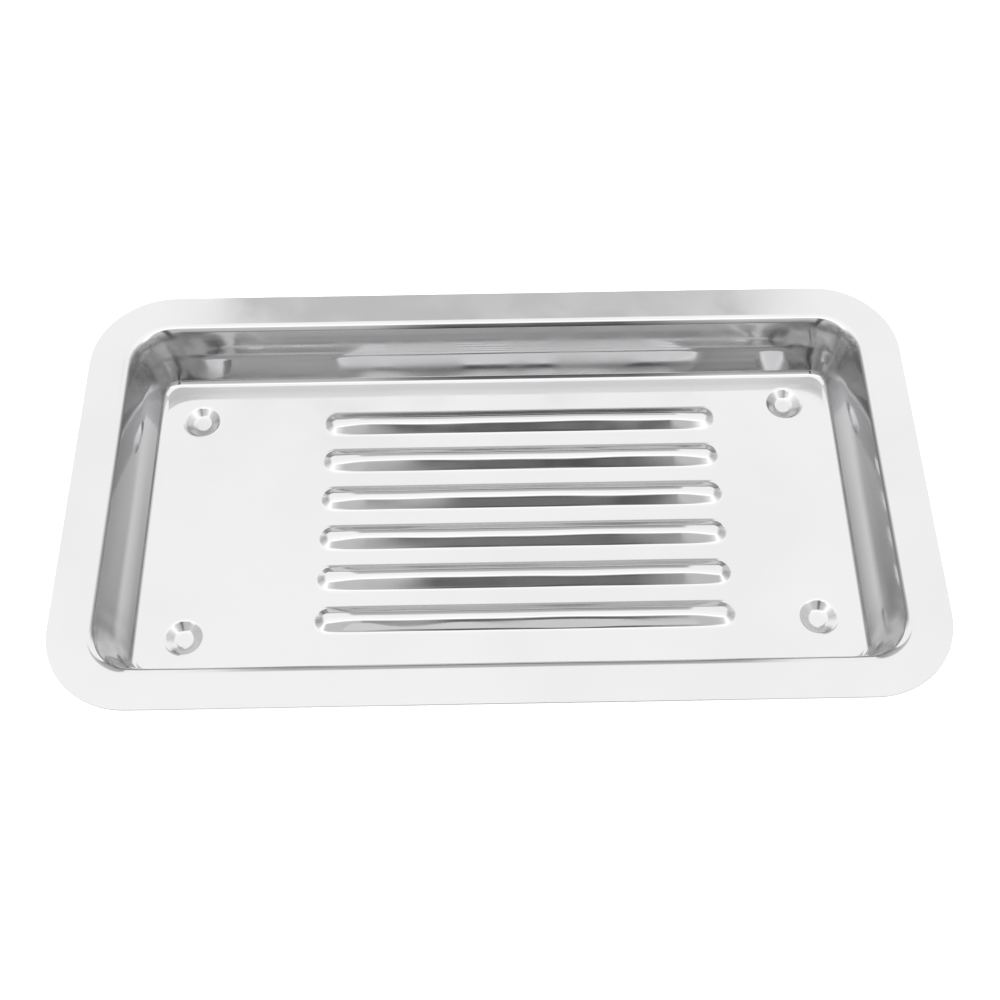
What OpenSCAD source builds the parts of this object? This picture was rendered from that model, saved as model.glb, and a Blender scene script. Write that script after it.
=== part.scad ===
// Shallow instrument tray pressed from one sheet of stainless steel: a flat rim, a leaning wall,
// six raised ribs across the floor and four dimples pressed down from it as feet.
// Millimetres, +Z up. The origin is at the middle of the tray, on the surface the feet rest on.

/* [Tray] */
// Length over the rim
tray_len = 225; // [222:1:320]
// Width over the rim
tray_wid = 126; // [126:1:200]
// Height from the bottom of the feet to the top of the rim
tray_high = 20; // [14:0.5:26]
// Thickness of the sheet
sheet = 0.6; // [0.4:0.1:1]

/* [Rim and wall] */
// Width of the flat part of the rim
rim_w = 9.3; // [8:0.1:11]
// Corner radius of the rim's outer edge
corner_r = 22; // [20:0.5:22]
// Radius over the bend from rim to wall
rim_bend_r = 2.3; // [1.5:0.1:3]
// Slope of the wall below the rim bend, in degrees
top_slope = 64; // [60:0.5:67]
// Slope above the middle of the wall, from where it steepens
waist_slope = 68.5; // [67.5:0.5:72]
// Steepest slope, below the middle of the wall
steep_slope = 76.5; // [74:0.5:80]
// Slope of the wall above the floor bend
low_slope = 68.5; // [64:0.5:72]
// Radius inside the bend from wall to floor
floor_bend_r = 2.1; // [1:0.1:3]

/* [Ribs] */
// Number of ribs
rib_count = 6; // [1:1:6]
// Length of a rib over its round ends
rib_len = 111.8; // [40:0.1:125]
// Width of a rib where it meets the floor
rib_w = 8.5; // [8:0.1:10]
// Height of a rib above the floor
rib_high = 2.3; // [1.2:0.1:2.5]
// Radius over the crown of a rib
rib_crown_r = 2.6; // [2:0.1:2.8]
// Radius inside the bend at the foot of a rib
rib_root_r = 1.4; // [0.8:0.1:1.5]
// Distance between the middles of neighbouring ribs
rib_pitch = 12.35; // [11:0.05:13]
// Distance of the middle of the ribs from the middle of the tray, along its length
rib_shift = 6.7; // [-7:0.1:7]
// Distance of the middle of the ribs from the middle of the tray, across its width
rib_aside = -0.4; // [-1:0.1:1]

/* [Feet] */
// Distance between the feet along the tray
foot_span_x = 166; // [150:1:168]
// Distance between the feet across the tray
foot_span_y = 68; // [60:1:68]
// How far the four feet are turned together about the middle of the tray, in degrees
foot_turn = 1; // [0:0.1:1]
// Diameter of a foot where it leaves the floor
foot_d = 10.8; // [10.2:0.1:11]
// Diameter of the flat bottom of a foot
foot_flat_d = 3.6; // [3:0.1:4.8]
// How far a foot reaches below the floor
foot_drop = 1.8; // [1:0.1:2]
// Radius over the bend from floor to foot
foot_edge_r = 1.3; // [1.1:0.1:1.5]
// Radius inside the bend at the bottom of a foot
foot_root_r = 1.8; // [1:0.1:1.8]

/* [Hidden] */
flat_turn = 6;              // most that one flat of a pressed bend turns, in degrees
wall_parts = [7, 3, 7];     // shares of the wall's height between its four slopes
$fn = 96;

floor_top = foot_drop + sheet;
wall_drop = tray_high - floor_top;
wall_slopes = [top_slope, waist_slope, steep_slope, low_slope];
wall_fall = wall_drop - rim_bend_r * (1 - cos(top_slope)) - floor_bend_r * (1 - cos(low_slope));
long_side = tray_len - 2 * corner_r;
short_side = tray_wid - 2 * corner_r;

function flats(turn) = max(2, ceil(abs(turn) / flat_turn));

// Angle at which a pressed step slopes, where it drops by rise over the distance reach
// between a bend of radius r1 at the top and a bend of radius r2 at the bottom
function slope(reach, rise, r1, r2) =
    let (down = rise - r1 - r2)
    atan2(down, reach) + asin((r1 + r2) / norm([reach, down]));

// One face of a pressed step that starts at [0, top]: under is how deep the face lies in the sheet
function step_face(top, reach, rise, r1, r2, under = 0) =
    let (turn = slope(reach, rise, r1, r2), n = flats(turn))
    concat(
        [for (i = [0 : n]) let (a = turn * i / n)
            [(r1 - under) * sin(a), top - r1 + (r1 - under) * cos(a)]],
        [for (i = [n : -1 : 0]) let (a = turn * i / n)
            [reach - (r2 + under) * sin(a), top - rise + r2 - (r2 + under) * cos(a)]]
    );

// Step from slope a to slope b along a bend of radius r, which is negative where the bend is hollow
function along(r, a, b) = r * [sin(b) - sin(a), cos(b) - cos(a)];

// Points down a chain of bends, each given as [radius, slope before it, slope after it]
function bent(start, bends, under, i = 0) = i == len(bends) ? [start] :
    let (r = bends[i][0] - under, a = bends[i][1], b = bends[i][2], n = flats(b - a))
    concat(
        [for (k = [0 : n - 1]) start + along(r, a, a + (b - a) * k / n)],
        bent(start + along(r, a, b), bends, under, i + 1)
    );

function reversed(points) = [for (i = [len(points) - 1 : -1 : 0]) points[i]];

// The wall steepens towards its middle and eases off again, so its lower half is hollow
wall_bends = concat(
    [[rim_bend_r, 0, top_slope]],
    [for (i = [0 : len(wall_parts) - 1])
        let (a = wall_slopes[i], b = wall_slopes[i + 1],
             fall = wall_fall * wall_parts[i] / (wall_parts * [1, 1, 1]))
        [fall / (cos(a) - cos(b)), a, b]],
    [[-floor_bend_r, low_slope, 0]]
);

// Section through rim and wall, measured inward from the outer edge to the corner's centre
function wall_face(under) = concat(
    [[0, tray_high - under]],
    bent([rim_w, tray_high - under], wall_bends, under),
    [[corner_r, floor_top - under]]
);
wall_section = [for (p = concat(wall_face(0), reversed(wall_face(sheet)))) [corner_r - p.x, p.y]];

// Half of the section through a rib, from its middle outward
function rib_face(under) =
    step_face(floor_top + rib_high, rib_w / 2, rib_high, rib_crown_r, rib_root_r, under);
half_rib = concat(rib_face(0), reversed(rib_face(sheet)));

// Half of the section through a foot, from its edge inward to its middle
function foot_face(under) = concat(
    step_face(floor_top, (foot_d - foot_flat_d) / 2, foot_drop, foot_edge_r, foot_root_r, under),
    [[foot_d / 2, floor_top - foot_drop - under]]
);
half_foot = [for (p = concat(foot_face(0), reversed(foot_face(sheet)))) [foot_d / 2 - p.x, p.y]];

function mirrored(points) = [for (p = reversed(points)) if (p.x > 0) [-p.x, p.y]];
rib_section = concat(
    mirrored(rib_face(0)), rib_face(0), reversed(rib_face(sheet)), reversed(mirrored(rib_face(sheet)))
);

// Places its children once for every rib
module at_ribs() {
    for (i = [0 : rib_count - 1])
        translate([rib_shift, rib_aside + (i - (rib_count - 1) / 2) * rib_pitch, 0]) children();
}

// Places its children once for every foot
module at_feet() {
    rotate(foot_turn)
        for (x = [-1, 1], y = [-1, 1])
            translate([x * foot_span_x / 2, y * foot_span_y / 2, 0]) children();
}

// The straight side whose outer edge is reach from the middle of the tray, facing +X
module straight_side(reach, length) {
    translate([reach - corner_r, 0, 0])
        rotate([90, 0, 0])
            linear_extrude(height = length, center = true) polygon(wall_section);
}

module rim_and_wall() {
    for (turn = [0, 180]) {
        rotate(turn) straight_side(tray_len / 2, short_side);
        rotate(turn + 90) straight_side(tray_wid / 2, long_side);
    }
    for (x = [-1, 1], y = [-1, 1])
        translate([x * long_side / 2, y * short_side / 2, 0])
            rotate(x > 0 ? (y > 0 ? 0 : 270) : (y > 0 ? 90 : 180))
                rotate_extrude(angle = 90) polygon(wall_section);
}

module rib_outline() {
    straight = rib_len - rib_w;
    square([straight, rib_w], center = true);
    for (x = [-1, 1]) translate([x * straight / 2, 0]) circle(d = rib_w);
}

module rib() {
    straight = rib_len - rib_w;
    rotate([90, 0, 90])
        linear_extrude(height = straight, center = true) polygon(rib_section);
    for (turn = [0, 180])
        rotate(turn) translate([straight / 2, 0, 0])
            rotate(-90) rotate_extrude(angle = 180) polygon(half_rib);
}

module foot() {
    rotate_extrude() polygon(half_foot);
}

// Flat middle of the floor, cut away where the ribs and feet are pressed
module floor_plate() {
    translate([0, 0, floor_top - sheet])
        linear_extrude(height = sheet)
            difference() {
                square([long_side, short_side], center = true);
                at_ribs() rib_outline();
                at_feet() circle(d = foot_d);
            }
}

module pressed_tray() {
    color("silver") {
        rim_and_wall();
        floor_plate();
        at_ribs() rib();
        at_feet() foot();
    }
}

pressed_tray();
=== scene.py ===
import math

import bpy
import numpy as np
from mathutils import Matrix, Vector


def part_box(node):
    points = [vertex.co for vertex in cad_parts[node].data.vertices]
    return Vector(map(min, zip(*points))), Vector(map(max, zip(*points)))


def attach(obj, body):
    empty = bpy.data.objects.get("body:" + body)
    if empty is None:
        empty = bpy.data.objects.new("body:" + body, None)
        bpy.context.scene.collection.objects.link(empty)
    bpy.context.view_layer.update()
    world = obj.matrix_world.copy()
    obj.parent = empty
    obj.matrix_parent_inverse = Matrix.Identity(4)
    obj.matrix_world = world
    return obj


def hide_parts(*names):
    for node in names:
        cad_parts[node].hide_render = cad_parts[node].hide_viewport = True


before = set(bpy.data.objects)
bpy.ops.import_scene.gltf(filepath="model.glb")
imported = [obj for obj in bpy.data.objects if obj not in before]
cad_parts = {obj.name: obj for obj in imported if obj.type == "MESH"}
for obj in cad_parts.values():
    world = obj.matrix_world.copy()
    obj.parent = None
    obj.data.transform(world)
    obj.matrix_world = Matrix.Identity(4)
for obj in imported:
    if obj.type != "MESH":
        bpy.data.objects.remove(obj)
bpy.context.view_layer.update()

mm = 0.001


# A shader value that can stand in a plain sum
class Value:
    def __init__(self, shader, socket):
        self.shader = shader
        self.socket = socket

    def __add__(self, other):
        return self.shader.math("ADD", self, other)

    def __sub__(self, other):
        return self.shader.math("SUBTRACT", self, other)

    def __rsub__(self, other):
        return self.shader.math("SUBTRACT", other, self)

    def __mul__(self, other):
        return self.shader.math("MULTIPLY", self, other)

    def __pow__(self, other):
        return self.shader.math("POWER", self, other)

    __radd__ = __add__
    __rmul__ = __mul__


class Shader:
    def __init__(self, owner):
        owner.use_nodes = True
        self.tree = owner.node_tree
        self.tree.nodes.clear()

    def add(self, kind, settings=None, sockets=None, out=0):
        node = self.tree.nodes.new(kind)
        for name, value in (settings or {}).items():
            setattr(node, name, value)
        for name, value in (sockets or {}).items():
            if isinstance(value, Value):
                self.tree.links.new(value.socket, node.inputs[name])
            else:
                node.inputs[name].default_value = value
        return Value(self, node.outputs[out]) if node.outputs else node

    def math(self, operation, first, second=0.0):
        return self.add("ShaderNodeMath", {"operation": operation}, {0: first, 1: second})

    def fade(self, value, start, end, low=0.0, high=1.0):
        return self.add(
            "ShaderNodeMapRange",
            {"interpolation_type": "SMOOTHSTEP"},
            {"Value": value, "From Min": start, "From Max": end, "To Min": low, "To Max": high},
        )

    def noise(self, where, scale, detail=2.0, stretch=(1.0, 1.0, 1.0)):
        place = self.add("ShaderNodeMapping", None, {"Vector": where, "Scale": stretch})
        sockets = {"Vector": place, "Scale": scale, "Detail": detail}
        return self.add("ShaderNodeTexNoise", None, sockets)

    def blend(self, amount, first, second):  # sockets 6 and 7 are the two colours
        sockets = {"Factor": amount, 6: first, 7: second}
        return self.add("ShaderNodeMix", {"data_type": "RGBA"}, sockets, out=2)

    def axis(self, vector, index):
        return self.add("ShaderNodeSeparateXYZ", None, {"Vector": vector}, out=index)

    def absolute(self, value):
        return self.math("ABSOLUTE", value)


def grey(level):
    return (level, level, level, 1.0)


# The tray: one sheet with a rim, a wall, ribs and feet pressed into it
tray = {
    "node": "pressed_tray",
    "sheet": 0.6 * mm,
    "cornerRadius": 22 * mm,       # of the rim's outer edge
    "rimWidth": 9.3 * mm,          # its flat part
    "rimBend": 2.3 * mm,
    "floorBend": 2.1 * mm,
    "wallSlopes": (64, 68.5, 76.5, 68.5),  # degrees, from the rim bend down to the floor bend
    "wallParts": (7, 3, 7),        # shares of the wall's height between those slopes
    "rimRings": (0.03, 0.35, 0.7, 1.0),  # mesh lines along the rim, as shares of its width
    "edgeRound": 0.16 * mm,        # rounding of the cut edge
    "edgeAngles": (0, 30, 60, 90),  # degrees round it where mesh lines run
    "ribs": 6,
    "ribLength": 111.8 * mm,
    "ribWidth": 8.5 * mm,
    "ribHeight": 2.3 * mm,
    "ribCrown": 2.6 * mm,
    "ribRoot": 1.4 * mm,
    "ribPitch": 12.35 * mm,
    "ribShift": 6.7 * mm,          # of the set of ribs, along the tray
    "ribAside": -0.4 * mm,         # and across it
    "ribSink": 0.4,                # how much of its height a rib loses towards its ends
    "ribSinkFrom": 9 * mm,         # where that starts, before the round end
    "ribWander": 0.05,             # how much its height wanders along it
    "wanderAlong": (11 * mm, 4.7 * mm),  # lengths of that wandering along a rib
    "wanderAcross": (5 * mm, 3 * mm),    # and how soon it changes from rib to rib
    "footSpan": (166 * mm, 68 * mm),
    "footTurn": 1.0,               # degrees that the set of feet is turned
    "footWidth": 10.8 * mm,        # where a foot leaves the floor
    "footFlat": 3.6 * mm,          # width of its flat bottom
    "footDrop": 1.8 * mm,
    "footEdge": 1.3 * mm,
    "footRoot": 1.8 * mm,
    "fineStep": 0.45 * mm,         # mesh spacing over ribs and feet
    "coarseStep": 2.4 * mm,        # mesh spacing over the plain floor
    "bendSteps": 8,
    "wallSteps": 3,
    "cornerSteps": 22,
    "dentDepth": 0.03 * mm,        # about how far the sheet waves in and out of true
    "creaseDepth": 0.04 * mm,      # of a crease of strength 1 in the corners
    "creaseReach": (18 * mm, 12 * mm),  # how far they run along the long and the short walls
    "creaseInto": 4 * mm,          # how far into the corner they reach full depth
    "creases": (                   # strength, turns along x, y and z, share of the bend, start
        (1.0, 0.62, -0.21, 0.3, 1.0, 0.0),
        (0.8, 0.17, 0.71, 0.0, -1.0, 1.0),
        (0.5, 1.07, 0.83, 0.5, 1.4, 0.0),
        (0.35, 1.33, -1.21, 0.4, 0.0, 2.0),
    ),
    "cornerEase": 0.6,             # radians over which a straight wall eases into its corner
}
trayLow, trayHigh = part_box(tray["node"])
halfLength = (trayHigh[0] - trayLow[0]) / 2
halfWidth = (trayHigh[1] - trayLow[1]) / 2
rimTop = trayHigh[2]
floorTop = tray["footDrop"] + tray["sheet"]
flatX = halfLength - tray["cornerRadius"]
flatY = halfWidth - tray["cornerRadius"]


def stepTurn(reach, rise, topBend, lowBend):
    down = rise - topBend - lowBend
    return math.atan2(down, reach) + math.asin((topBend + lowBend) / math.hypot(reach, down))


def stepLine(top, reach, rise, topBend, lowBend, steps):  # points and normals down a pressed step
    turn = stepTurn(reach, rise, topBend, lowBend)
    angles = [turn * i / steps for i in range(steps + 1)]
    line = [(topBend * math.sin(a), top - topBend + topBend * math.cos(a), a) for a in angles]
    line += [
        (reach - lowBend * math.sin(a), top - rise + lowBend - lowBend * math.cos(a), a)
        for a in reversed(angles)
    ]
    return line


def stepHeight(far, reach, rise, topBend, lowBend):  # height along a step that starts at 0
    turn = stepTurn(reach, rise, topBend, lowBend)
    topEnd = topBend * math.sin(turn)
    lowStart = reach - lowBend * math.sin(turn)
    top = np.sqrt(np.maximum(topBend**2 - far**2, 0)) - topBend
    low = lowBend - rise - np.sqrt(np.maximum(lowBend**2 - (reach - far) ** 2, 0))
    flank = topBend * (math.cos(turn) - 1) - (far - topEnd) * math.tan(turn)
    height = np.where(far < topEnd, top, np.where(far > lowStart, low, flank))
    return np.where(far > reach, -rise, height)


def smooth(value, start, end):
    share = np.clip((value - start) / (end - start), 0, 1)
    return share * share * (3 - 2 * share)


def ribRows():
    first = tray["ribAside"] - (tray["ribs"] - 1) / 2 * tray["ribPitch"]
    return [first + i * tray["ribPitch"] for i in range(tray["ribs"])]


def footPlaces():
    turn = Matrix.Rotation(math.radians(tray["footTurn"]), 2)
    spanX, spanY = tray["footSpan"]
    return [turn @ Vector((x * spanX / 2, y * spanY / 2)) for x in (-1, 1) for y in (-1, 1)]


def floorHeight(x, y):
    height = np.full_like(x, floorTop)
    straight = (tray["ribLength"] - tray["ribWidth"]) / 2
    along = np.abs(x - tray["ribShift"]) - straight
    sunk = 1 - tray["ribSink"] * smooth(along, -tray["ribSinkFrom"], tray["ribWidth"] / 2)
    long, short = tray["wanderAlong"]
    wide, narrow = tray["wanderAcross"]
    rise = tray["ribHeight"]
    for row in ribRows():
        wander = np.sin(x / long + row / wide)
        wander += 0.5 * np.sin(x / short - row / narrow)
        far = np.hypot(np.maximum(along, 0), y - row)
        step = stepHeight(far, tray["ribWidth"] / 2, rise, tray["ribCrown"], tray["ribRoot"])
        height += (rise + step) * sunk * (1 + tray["ribWander"] * wander)
    reach = (tray["footWidth"] - tray["footFlat"]) / 2
    for foot in footPlaces():
        inside = np.maximum(tray["footWidth"] / 2 - np.hypot(x - foot.x, y - foot.y), 0)
        height += stepHeight(inside, reach, tray["footDrop"], tray["footEdge"], tray["footRoot"])
    return height


def gridLines(half, fineSpans):
    marks = sorted({-half, half, *[edge for span in fineSpans for edge in span]})
    lines = []
    for low, high in zip(marks, marks[1:]):
        middle = (low + high) / 2
        fine = any(a < middle < b for a, b in fineSpans)
        spacing = tray["fineStep" if fine else "coarseStep"]
        count = max(1, math.ceil((high - low) / spacing - 0.01))
        lines += [low + (high - low) * i / count for i in range(count)]
    return np.array(lines + [half])


def floorLines():
    margin = 0.1 * mm
    footReach = tray["footWidth"] / 2 + margin
    ribReach = tray["ribWidth"] / 2 + margin
    feet = footPlaces()
    spansX, spansY = [], [(row - ribReach, row + ribReach) for row in ribRows()]
    for side in (-1, 1):
        end = tray["ribShift"] + side * (tray["ribLength"] - tray["ribWidth"]) / 2
        spansX.append(tuple(sorted((end, end + side * ribReach))))
        acrossX = [foot.x for foot in feet if foot.x * side > 0]
        acrossY = [foot.y for foot in feet if foot.y * side > 0]
        spansX.append((min(acrossX) - footReach, max(acrossX) + footReach))
        spansY.append((min(acrossY) - footReach, max(acrossY) + footReach))
    return gridLines(flatX, spansX), gridLines(flatY, spansY)


def eased(points):  # how far the wall moves in so that its bend around a corner starts softly
    u = np.abs(points[..., 0]) - flatX
    v = np.abs(points[..., 1]) - flatY
    radius = np.hypot(np.maximum(u, 0), np.maximum(v, 0))
    safe = np.maximum(radius, 1 * mm)  # no division by nothing over the floor
    turn = np.arctan2(v, np.maximum(u, 1e-9))
    turned = np.where(v < 0, v / safe, np.minimum(turn, math.pi / 2 - turn))
    turned = np.where(u < 0, u / safe, turned)
    share = np.clip(turned / tray["cornerEase"], -1, 1)
    before = (share + 1) ** 3 / 12
    after = 1 / 12 + share / 4 - share**2 / 4 + share**3 / 12
    return radius * tray["cornerEase"] ** 2 * np.where(share < 0, before, after)


def dents(points):  # slow waves and corner creases that pressing leaves in the sheet
    x, y, z = np.moveaxis(points / mm, -1, 0)
    waves = np.sin(x * 0.06 + 1.3 * np.sin(y * 0.05)) * np.cos(y * 0.07 + 0.6)
    waves += 0.5 * np.sin(x * 0.11 - y * 0.08 + 2.0)
    waves += 0.2 * np.sin(y * 0.27 + x * 0.05 + 0.9) * np.cos(x * 0.19 + 1.1)
    up = (points[..., 2] - floorTop) / (rimTop - floorTop)
    onWall = smooth(up, 0.02, 0.3) * smooth(up, 1.0, 0.8)
    reachX, reachY = tray["creaseReach"]
    into = tray["creaseInto"]
    near = smooth(np.abs(points[..., 0]), flatX - reachX, flatX + into)
    near = near * smooth(np.abs(points[..., 1]), flatY - reachY, flatY + into)
    bend = 1.6 * np.sin(x * 0.23 + y * 0.17 + 0.4)
    folds = np.zeros_like(x)
    for strength, alongX, alongY, alongZ, bendShare, start in tray["creases"]:
        turns = x * alongX + y * alongY + z * alongZ + bend * bendShare + start
        folds += strength * np.sin(turns)
    wallOnly = tray["creaseDepth"] * near * folds + eased(points)
    return tray["dentDepth"] * waves + onWall * wallOnly


def dented(points, normals):
    nudge = 0.01 * mm
    steps = np.eye(3) * nudge
    rises = [dents(points + step) - dents(points - step) for step in steps]
    lean = np.stack(rises, axis=-1) / (2 * nudge)
    lean -= (lean * normals).sum(-1, keepdims=True) * normals
    tilted = normals - lean
    tilted /= np.linalg.norm(tilted, axis=-1, keepdims=True)
    return points + normals * dents(points)[..., None], tilted


def floorFaces(linesX, linesY):
    x, y = (a.ravel() for a in np.meshgrid(linesX, linesY))
    nudge = 0.002 * mm
    slopeX = (floorHeight(x + nudge, y) - floorHeight(x - nudge, y)) / (2 * nudge)
    slopeY = (floorHeight(x, y + nudge) - floorHeight(x, y - nudge)) / (2 * nudge)
    normals = np.stack([-slopeX, -slopeY, np.ones_like(x)], axis=-1)
    normals /= np.linalg.norm(normals, axis=-1, keepdims=True)
    return np.stack([x, y, floorHeight(x, y)], axis=-1), normals


def wallBends():  # radius, slope at its start and at its end for each bend, hollow ones negative
    slopes = [math.radians(slope) for slope in tray["wallSlopes"]]
    rimFall = tray["rimBend"] * (1 - math.cos(slopes[0]))
    floorFall = tray["floorBend"] * (1 - math.cos(slopes[-1]))
    fall = (rimTop - floorTop - rimFall - floorFall) / sum(tray["wallParts"])
    bends = [(tray["rimBend"], 0.0, slopes[0], tray["bendSteps"])]
    for part, start, end in zip(tray["wallParts"], slopes, slopes[1:]):
        radius = fall * part / (math.cos(start) - math.cos(end))
        bends.append((radius, start, end, tray["wallSteps"]))
    return bends + [(-tray["floorBend"], slopes[-1], 0.0, tray["bendSteps"])]


def wallLine():  # distance in from the outer edge, height and slope, from the floor to the rim
    far, height = tray["rimWidth"], rimTop
    line = [(far * share, rimTop, 0.0) for share in tray["rimRings"]]
    for radius, start, end, steps in wallBends():
        for i in range(1, steps + 1):
            slope = start + (end - start) * i / steps
            across = radius * (math.sin(slope) - math.sin(start))
            down = radius * (math.cos(start) - math.cos(slope))
            line.append((far + across, height - down, slope))
        far, height = line[-1][:2]
    print("floor starts", round(far / mm, 2), "mm in from the edge")
    return list(reversed(line))


def ringPoints(linesX, linesY):  # where each column of the wall starts, and which way it faces
    turns = [math.pi / 2 * i / tray["cornerSteps"] for i in range(1, tray["cornerSteps"])]
    starts, aims = [], []
    sides = [
        ([(x, -flatY) for x in linesX], -math.pi / 2),
        ([(flatX, y) for y in linesY], 0.0),
        ([(x, flatY) for x in reversed(linesX)], math.pi / 2),
        ([(-flatX, y) for y in reversed(linesY)], math.pi),
    ]
    for places, aim in sides:
        starts += places
        aims += [aim] * len(places)
        starts += [places[-1]] * len(turns)
        aims += [aim + turn for turn in turns]
    return np.array(starts), np.array(aims)


def edgeLoop(countX, countY):  # the floor grid's outer vertices, in the same order as the columns
    last = (countY - 1) * countX
    sides = [
        list(range(countX)),
        [countX - 1 + row * countX for row in range(countY)],
        [last + i for i in reversed(range(countX))],
        [row * countX for row in reversed(range(countY))],
    ]
    loop = []
    for side in sides:
        loop += side + [side[-1]] * (tray["cornerSteps"] - 1)
    return loop


def buildTray():
    linesX, linesY = floorLines()
    countX, countY = len(linesX), len(linesY)
    topFloor, floorNormals = dented(*floorFaces(linesX, linesY))
    lowFloor = topFloor - floorNormals * tray["sheet"]

    starts, aims = ringPoints(linesX, linesY)
    outward = np.stack([np.cos(aims), np.sin(aims)], axis=-1)

    def ring(far, height, slope):
        flat = starts + outward * (tray["cornerRadius"] - far)
        points = np.column_stack([flat, np.full(len(flat), height)])
        upright = np.full(len(flat), math.cos(slope))
        normals = np.column_stack([-outward * math.sin(slope), upright])
        return dented(points, normals)

    topRings = [ring(*place) for place in wallLine()]
    lowRings = [(p - n * tray["sheet"], -n) for p, n in reversed(topRings)]
    soft = tray["edgeRound"]
    edgeRings = []
    rimPoints, rimNormals = ring(0.0, rimTop, 0.0)
    for upper in (True, False):
        for degrees in sorted(tray["edgeAngles"], reverse=not upper):
            a = math.radians(degrees)
            side = 1 if upper else -1
            drop = soft - soft * math.cos(a)
            deep = drop if upper else tray["sheet"] - drop
            inward = soft - soft * math.sin(a)
            flatOut = np.column_stack([outward, np.zeros(len(outward))])
            points = rimPoints - rimNormals * deep - flatOut * inward
            normals = rimNormals * (side * math.cos(a)) + flatOut * math.sin(a)
            edgeRings.append((points, normals))

    rings = topRings + edgeRings + lowRings
    points = np.concatenate([topFloor, *[p for p, n in rings], lowFloor])
    normals = np.concatenate([floorNormals, *[n for p, n in rings], -floorNormals])

    columns = len(starts)
    floorCount = countX * countY
    lowStart = floorCount + columns * len(rings)
    faces = []
    for row in range(countY - 1):
        for i in range(countX - 1):
            a = row * countX + i
            b = a + countX
            faces.append((a, a + 1, b + 1, b))
            faces.append((lowStart + a, lowStart + b, lowStart + b + 1, lowStart + a + 1))
    loop = edgeLoop(countX, countY)
    chains = [loop]
    firsts = [floorCount + k * columns for k in range(len(rings))]
    chains += [range(first, first + columns) for first in firsts]
    chains += [[lowStart + i for i in loop]]
    for inner, outer in zip(chains, chains[1:]):
        for c in range(columns):
            d = (c + 1) % columns
            corners = (inner[c], outer[c], outer[d], inner[d])
            faces.append(tuple(dict.fromkeys(corners)))

    mesh = bpy.data.meshes.new("pressedTray")
    mesh.from_pydata(points.tolist(), [], faces)
    mesh.polygons.foreach_set("use_smooth", [True] * len(mesh.polygons))
    mesh.normals_split_custom_set_from_vertices(normals.tolist())
    mesh.validate()
    piece = bpy.data.objects.new("pressedTray", mesh)
    bpy.context.collection.objects.link(piece)
    print("tray mesh:", len(points), "points,", len(faces), "faces")
    return piece


# Polished stainless steel
steel = {
    "tone": (0.64, 0.64, 0.645),
    "mottle": 0.03,                # how much the tone wanders
    "roughness": (0.05, 0.12),
    "haze": (60.0, 3.0),           # scale and detail of how the roughness changes
    "hazeFade": (0.35, 0.65),      # fades run between two values of what they follow
    "smudge": (22.0, 4.0),
    "smudgeFade": (0.55, 0.8),
    "smudgeRoughness": 0.05,       # added in the smudges
    "mottleFade": (0.4, 0.7),
    "footRoughness": 0.12,         # added where the polishing wheel doesn't reach
    "footFade": (0.7, 1.1),        # in foot radii from a foot's middle
    "cornerRoughness": 0.14,
    "paintedCornerShade": 0.8,             # painted shade on the walls in the corners: their tone, as a share of the rest
    "cornerSpan": 14 * mm,         # how far the rougher corners with painted shade reach along the walls
    "cornerPatches": (150.0, 3.0),
    "patchFade": (0.3, 0.6, 0.35),  # the last is what is left between the patches
    "wallFacing": (0.5, 0.9),      # how far up the walls face, at most
    "wallBand": (0.6 * mm, 2 * mm),  # below the rim's top, where they begin
    "marks": (                     # scale, detail and stretch of the polishing marks
        (900.0, 2.0, (0.05, 1.0, 1.0)),
        (700.0, 2.0, (1.0, 0.06, 1.0)),
    ),
    "markStrength": 0.05,
    "markDepth": 0.02 * mm,
    "cutTone": 0.45,               # tone of the cut edge, as a share of the rest
    "cutRoughness": 0.35,
    "cutFacing": (0.35, 0.75),
    "cutBand": (0.9 * mm, 0.65 * mm),  # below the rim's top, where that edge is
}


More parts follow.
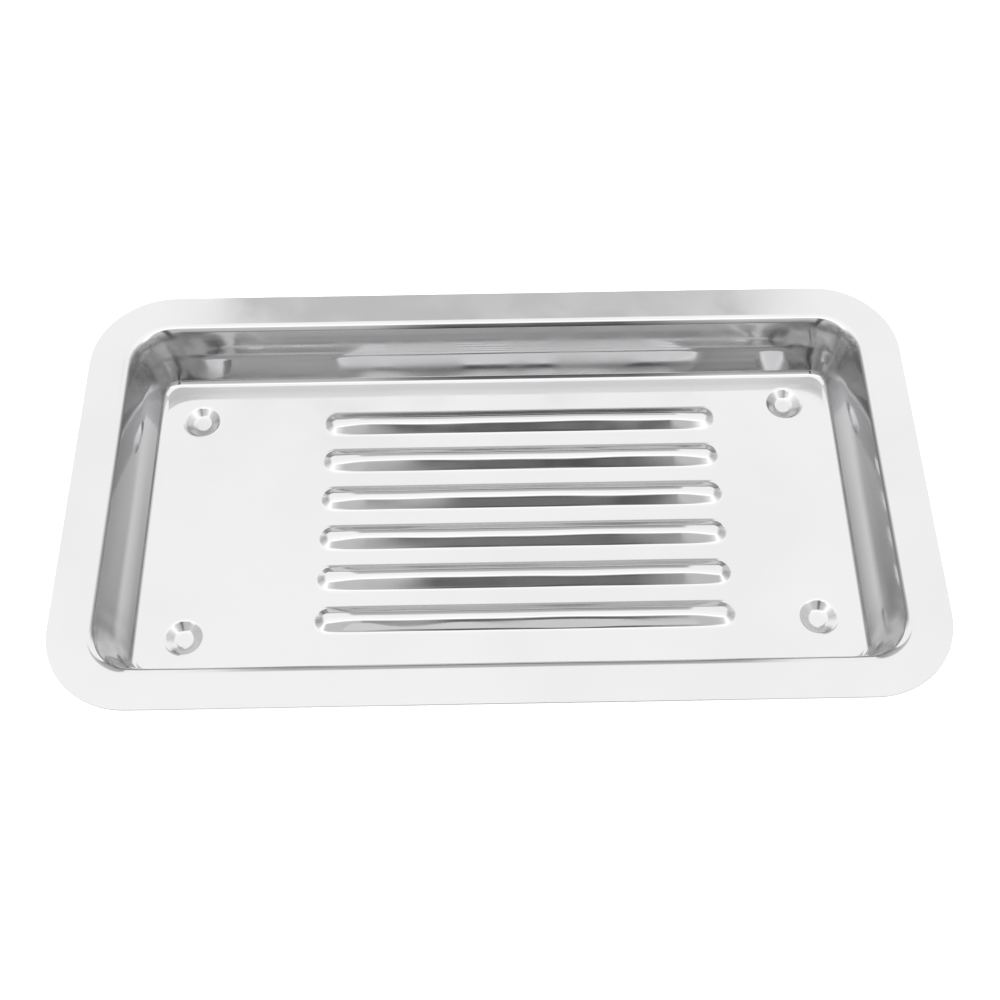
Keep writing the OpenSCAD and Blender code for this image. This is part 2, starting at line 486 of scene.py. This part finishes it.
def polishedSteel():
    material = bpy.data.materials.new("polishedSteel")
    shader = Shader(material)
    where = shader.add("ShaderNodeTexCoord", out=3)
    x, y, z = (shader.axis(where, i) for i in range(3))
    facingUp = shader.axis(shader.add("ShaderNodeNewGeometry", out=1), 2)

    cutLow, cutHigh = (rimTop - below for below in steel["cutBand"])
    onCut = shader.fade(facingUp, *steel["cutFacing"], 1.0, 0.0)
    onCut = onCut * shader.fade(z, cutLow, cutHigh)

    onFeet = 0.0
    near, far = (tray["footWidth"] / 2 * share for share in steel["footFade"])
    for foot in footPlaces():
        away = ((x - foot.x) ** 2.0 + (y - foot.y) ** 2.0) ** 0.5
        onFeet = onFeet + shader.fade(away, near, far, 1.0, 0.0)

    # Walls in the corners: rougher, and darker in patches as painted shade
    span = steel["cornerSpan"]
    roughShadedCorner = shader.fade(shader.absolute(x), flatX - span, flatX + span / 4)
    roughShadedCorner = roughShadedCorner * shader.fade(shader.absolute(y), flatY - span, flatY + span / 4)
    wallHigh, wallLow = (rimTop - below for below in steel["wallBand"])
    onWall = shader.fade(facingUp, *steel["wallFacing"], 1.0, 0.0)
    onWall = onWall * shader.fade(z, wallHigh, wallLow)
    patches = shader.noise(where, *steel["cornerPatches"])
    patches = shader.fade(patches, *steel["patchFade"])
    roughShadedCorner = roughShadedCorner * onWall * patches

    haze = shader.noise(where, *steel["haze"])
    smudge = shader.noise(where, *steel["smudge"])
    marks = 0.0
    for mark in steel["marks"]:
        marks = marks + shader.noise(where, *mark)

    polish = shader.fade(haze, *steel["hazeFade"], *steel["roughness"])
    polish = polish + onFeet * steel["footRoughness"] + roughShadedCorner * steel["cornerRoughness"]
    smudged = shader.fade(smudge, *steel["smudgeFade"], 0.0, steel["smudgeRoughness"])
    roughness = polish + smudged
    roughness = roughness + onCut * (steel["cutRoughness"] - polish)
    light = 1.0 - shader.fade(smudge, *steel["mottleFade"]) * steel["mottle"]
    light = light * (1.0 - onCut * (1.0 - steel["cutTone"]))
    # painted shade: darker tone on the walls in the corners
    light = light * (1.0 - roughShadedCorner * (1.0 - steel["paintedCornerShade"]))
    tone = shader.blend(light, grey(0.0), (*steel["tone"], 1.0))
    scratched = shader.add(
        "ShaderNodeBump",
        None,
        {"Strength": steel["markStrength"], "Distance": steel["markDepth"], "Height": marks},
    )
    surface = shader.add(
        "ShaderNodeBsdfPrincipled",
        None,
        {"Base Color": tone, "Metallic": 1.0, "Roughness": roughness, "Normal": scratched},
    )
    shader.add("ShaderNodeOutputMaterial", None, {"Surface": surface})
    print("steel:", len(shader.tree.nodes), "nodes")
    return material


# Studio: pale floor, soft sky, camera
studio = {
    "floorSize": 24.0,
    "floorTone": 0.9,
    "floorRoughness": 0.6,
    "lampPlace": (0, -0.7, 0.9),   # it lights the floor and doesn't show in the steel
    "lampSize": 1.2,
    "lampPower": 30.0,
}

# Directions in the sky run from -1 to 1, to the right, to the back and up
sky = {
    "glow": 1.75,                  # of the soft light above the front
    "overhead": 1.45,              # and straight above
    "glowFade": (-0.3, -0.12),     # from the one to the other
    "low": 0.8,                    # of the room around it
    "horizon": 0.4,                # and low down in it
    "roomRise": (0.0, 0.5),        # from the horizon up to the rest of the room
    "backEdge": (0.586, 0.608),    # the glow ends sharply behind, over the middle only
    "backHalf": (0.16, 0.2),
    "sideEdge": (0.58, 0.86),
    "frontEdge": (-0.34, -0.56),
    "fall": (0.1, 0.5, 0.94),      # the glow weakens a little to the back
    "shade": 0.16,                 # what is left of the light in the dim strip in front
    "shadeAside": 0.03,
    "shadeHalf": (0.06, 0.13),
    "shadeTop": (-0.36, -0.64),
    "patches": (3.5, 2.0, (1.0, 1.6, 1.6)),  # scale, detail and stretch of uneven light
    "patchFade": (0.35, 0.65),
    "clutter": 0.45,               # how unevenly the low part of the room is lit
    "clutterTop": (0.7, 0.45),
    "stripClutter": 0.2,           # and the dim strip
}


def buildFloorAndLamp():
    mesh = bpy.data.meshes.new("floor")
    half = studio["floorSize"] / 2
    corners = [(-half, -half, 0), (half, -half, 0), (half, half, 0), (-half, half, 0)]
    mesh.from_pydata(corners, [], [(0, 1, 2, 3)])
    floor = bpy.data.objects.new("floor", mesh)
    bpy.context.collection.objects.link(floor)
    material = bpy.data.materials.new("paleFloor")
    shader = Shader(material)
    surface = shader.add(
        "ShaderNodeBsdfPrincipled",
        None,
        {
            "Base Color": grey(studio["floorTone"]),
            "Roughness": studio["floorRoughness"],
            "Specular IOR Level": 0.0,
        },
    )
    shader.add("ShaderNodeOutputMaterial", None, {"Surface": surface})
    mesh.materials.append(material)

    lamp = bpy.data.lights.new("overheadLamp", "AREA")
    lamp.size = studio["lampSize"]
    lamp.energy = studio["lampPower"]
    lampPiece = bpy.data.objects.new("overheadLamp", lamp)
    lampPiece.location = studio["lampPlace"]
    towardTray = -Vector(studio["lampPlace"])
    lampPiece.rotation_euler = towardTray.to_track_quat("-Z", "Y").to_euler()
    lampPiece.visible_glossy = False
    lampPiece.visible_camera = False
    bpy.context.collection.objects.link(lampPiece)
    print("studio: floor and lamp")


def buildSky():
    world = bpy.data.worlds.new("softSky")
    bpy.context.scene.world = world
    shader = Shader(world)
    where = shader.add("ShaderNodeTexCoord")
    aside, ahead, up = (shader.axis(where, i) for i in range(3))
    beside = shader.absolute(aside)

    behind = shader.fade(ahead, *sky["backEdge"])
    behind = behind * shader.fade(beside, *sky["backHalf"], 1.0, 0.0)
    glow = (1.0 - behind) * shader.fade(beside, *sky["sideEdge"], 1.0, 0.0)
    glow = glow * shader.fade(ahead, *sky["frontEdge"], 1.0, 0.0)
    backFrom, backTo, left = sky["fall"]
    bright = shader.fade(ahead, *sky["glowFade"], sky["glow"], sky["overhead"])
    bright = bright * shader.fade(ahead, backFrom, backTo, 1.0, left)

    patches = shader.fade(shader.noise(where, *sky["patches"]), *sky["patchFade"])
    room = shader.fade(up, *sky["roomRise"], sky["horizon"], sky["low"])
    lowDown = shader.fade(up, *sky["clutterTop"])
    room = room * (1.0 - patches * lowDown * sky["clutter"])
    level = room + glow * (bright - room)

    offStrip = shader.absolute(aside - sky["shadeAside"])
    strip = shader.fade(offStrip, *sky["shadeHalf"], 1.0, 0.0)
    strip = strip * shader.fade(ahead, *sky["shadeTop"]) * (1.0 - patches * sky["stripClutter"])
    level = level * (1.0 - strip * (1.0 - sky["shade"]))
    background = shader.add("ShaderNodeBackground", None, {"Color": grey(1.0), "Strength": level})
    shader.add("ShaderNodeOutputWorld", None, {"Surface": background})
    print("sky:", len(shader.tree.nodes), "nodes")


camera = {
    "aim": (0.65 * mm, -5.91 * mm),  # point on the rim's plane that it looks at
    "elevation": 58.966,           # degrees, as are the turn and the roll
    "turn": 0.297,
    "roll": -0.735,
    "distance": 375.57 * mm,
    "lens": 51.849,                # on a film this wide
    "film": 36.0,
    "nearest": 10 * mm,
}


def buildCamera():
    tilt, turn, roll = (math.radians(camera[k]) for k in ("elevation", "turn", "roll"))
    ahead = Vector((math.sin(turn), math.cos(turn), 0))
    side = Vector((math.cos(turn), -math.sin(turn), 0))
    forward = ahead * math.cos(tilt) - Vector((0, 0, math.sin(tilt)))
    up = ahead * math.sin(tilt) + Vector((0, 0, math.cos(tilt)))
    right = side * math.cos(roll) + up * math.sin(roll)
    top = up * math.cos(roll) - side * math.sin(roll)
    place = Vector((*camera["aim"], rimTop)) - forward * camera["distance"]
    data = bpy.data.cameras.new("camera")
    data.sensor_width = camera["film"]
    data.lens = camera["lens"]
    data.clip_start = camera["nearest"]
    piece = bpy.data.objects.new("camera", data)
    axes = Matrix((right, top, -forward)).transposed().to_4x4()
    piece.matrix_world = Matrix.Translation(place) @ axes
    bpy.context.collection.objects.link(piece)
    bpy.context.scene.camera = piece
    print("camera:", round(camera["distance"] / mm), "mm from the tray")


pressedTray = buildTray()
pressedTray.data.materials.append(polishedSteel())
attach(pressedTray, "root")
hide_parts(tray["node"])
buildFloorAndLamp()
buildSky()
buildCamera()
bpy.context.scene.view_settings.view_transform = "Standard"
bpy.context.view_layer.update()
